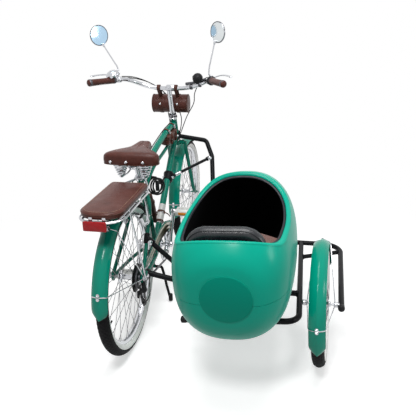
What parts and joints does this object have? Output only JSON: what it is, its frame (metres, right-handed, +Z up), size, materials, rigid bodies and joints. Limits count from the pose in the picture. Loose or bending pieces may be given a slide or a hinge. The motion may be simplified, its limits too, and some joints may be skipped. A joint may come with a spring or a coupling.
{
  "type": "sidecar bicycle",
  "caption": "Cruiser bicycle with a green frame and brown leather saddle, and an egg-shaped passenger pod on a black side frame with a third wheel.",
  "frame": {"origin": "bottom centre of the bounding box, on the floor", "axes": "+Y is forward, +X is the sidecar side (the rider's right), +Z is up"},
  "size_m": [1.33, 1.9629, 1.374],
  "materials": {
    "green_paint": "gloss teal green paint",
    "black_paint": "gloss black powder coat",
    "chrome": "polished",
    "steel": "satin",
    "tyre": "black tread with a white sidewall",
    "leather": "smooth brown leather",
    "pod_gloss": "gloss teal green moulding",
    "vinyl": "dark grey vinyl",
    "carpet": "short reddish brown carpet",
    "plastic": "satin black",
    "reflector": "moulded red reflector",
    "guard": "green with cream stripes",
    "pedal": "white with amber reflectors"
  },
  "bodies": {
    "frame_set": {"backrest": "vinyl", "bb_shell": "green_paint", "brace": "black_paint", "cable_lock": "plastic", "cables": "plastic", "chain": "steel", "chain_guard": "guard", "cross_tubes": "black_paint", "derailleur": "plastic", "down_tube": "green_paint", "floor_mat": "carpet", "head_tube": "green_paint", "inner_rail": "black_paint", "mid_tube": "green_paint", "outer_rail": "black_paint", "pod_lower": "pod_gloss", "pod_mounts": "black_paint", "pod_seat": "vinyl", "pod_trim": "vinyl", "pod_upper": "pod_gloss", "rack": "chrome", "rack_pad": "leather", "rear_axle": "steel", "rear_brake": "chrome", "rear_fender": "green_paint", "rear_reflector": "reflector", "rear_stays": "green_paint", "rear_struts": "black_paint", "saddle": "leather", "saddle_springs": "chrome", "seat_post": "chrome", "seat_pouch": "leather", "seat_tube": "green_paint", "side_axle": "steel", "side_fender": "green_paint", "tall_strut": "black_paint", "tool_bag": "leather", "top_tube": "green_paint"},
    "fork_set": {"bar_bag": "leather", "bar_cable": "plastic", "bell": "chrome", "dome": "plastic", "fork": "green_paint", "front_fender": "green_paint", "grips": "leather", "handlebar": "chrome", "levers": "chrome", "mirrors": "chrome", "stem": "chrome"},
    "front_wheel_set": {"front_tyre": "tyre", "front_wheel": "chrome"},
    "rear_wheel_set": {"rear_tyre": "tyre", "rear_wheel": "chrome", "cassette": "plastic"},
    "side_wheel_set": {"side_tyre": "tyre", "side_wheel": "chrome"},
    "crank_set": {"crankset": "chrome"},
    "right_pedal_set": {"pedal_right": "pedal"},
    "left_pedal_set": {"pedal_left": "pedal"},
    "stand_set": {"stand": "black_paint"}
  },
  "joints": [
    {"name": "steering", "type": "hinge", "parent": "frame_set", "child": "fork_set", "pos_m": [-0.28597, 0.4005, 0.8], "axis": [0, -0.3746, 0.9272], "range_deg": [-40, 40]},
    {"name": "front_wheel_spin", "type": "hinge", "parent": "fork_set", "child": "front_wheel_set", "pos_m": [-0.28597, 0.6485, 0.333], "axis": [1, 0, 0], "continuous": true},
    {"name": "rear_wheel_spin", "type": "hinge", "parent": "frame_set", "child": "rear_wheel_set", "pos_m": [-0.28597, -0.5315, 0.333], "axis": [1, 0, 0], "continuous": true},
    {"name": "side_wheel_spin", "type": "hinge", "parent": "frame_set", "child": "side_wheel_set", "pos_m": [0.54404, -0.5015, 0.2586], "axis": [0.9949, -0.08, 0.061], "continuous": true},
    {"name": "crank_spin", "type": "hinge", "parent": "frame_set", "child": "crank_set", "pos_m": [-0.28597, -0.0965, 0.3], "axis": [1, 0, 0], "continuous": true},
    {"name": "right_pedal_spin", "type": "hinge", "parent": "crank_set", "child": "right_pedal_set", "pos_m": [-0.13596, -0.03836, 0.45975], "axis": [1, 0, 0], "continuous": true},
    {"name": "left_pedal_spin", "type": "hinge", "parent": "crank_set", "child": "left_pedal_set", "pos_m": [-0.43596, -0.15464, 0.14025], "axis": [1, 0, 0], "continuous": true},
    {"name": "stand_fold", "type": "hinge", "parent": "frame_set", "child": "stand_set", "pos_m": [-0.28597, -0.1595, 0.2], "axis": [1, 0, 0], "range_deg": [-85, 0]}
  ]
}
